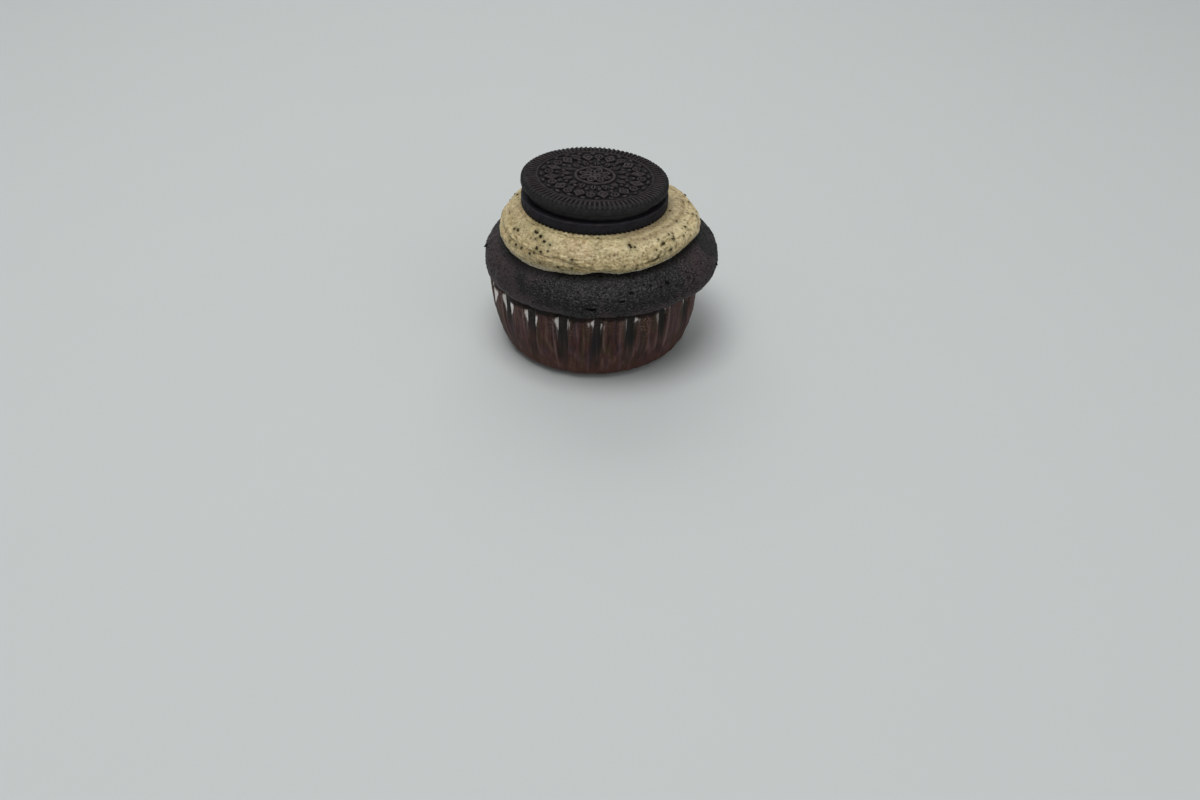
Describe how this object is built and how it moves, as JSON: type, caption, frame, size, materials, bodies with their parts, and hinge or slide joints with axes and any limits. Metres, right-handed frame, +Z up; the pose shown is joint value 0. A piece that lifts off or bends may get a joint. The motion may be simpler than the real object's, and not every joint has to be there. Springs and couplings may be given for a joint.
{
  "type": "cupcake",
  "caption": "Chocolate cupcake in a dark pleated paper case, topped with a piped ring of speckled frosting and a round chocolate sandwich cookie lying on it.",
  "frame": {"origin": "centre of the flat base of the paper case, at the height of the surface it stands on", "axes": "+Z up through the cupcake; -Y is the front, the side seen in the picture; +X is to the right seen from the front"},
  "size_m": [0.0729, 0.073, 0.0551],
  "materials": {
    "case_paper": "dark brown greaseproof paper, glossy, pale wear along the folds",
    "cake": "dark chocolate sponge, matt, porous crust",
    "frosting": "beige cream, satin, speckled with dark crumbs",
    "wafer": "near-black chocolate biscuit, matt, embossed",
    "filling": "dark chocolate cream, satin"
  },
  "bodies": {
    "root": {"paper_case": "case_paper", "cake": "cake", "frosting": "frosting", "cookie_bottom_wafer": "wafer", "cookie_filling": "filling", "cookie_top_wafer": "wafer"}
  },
  "joints": []
}
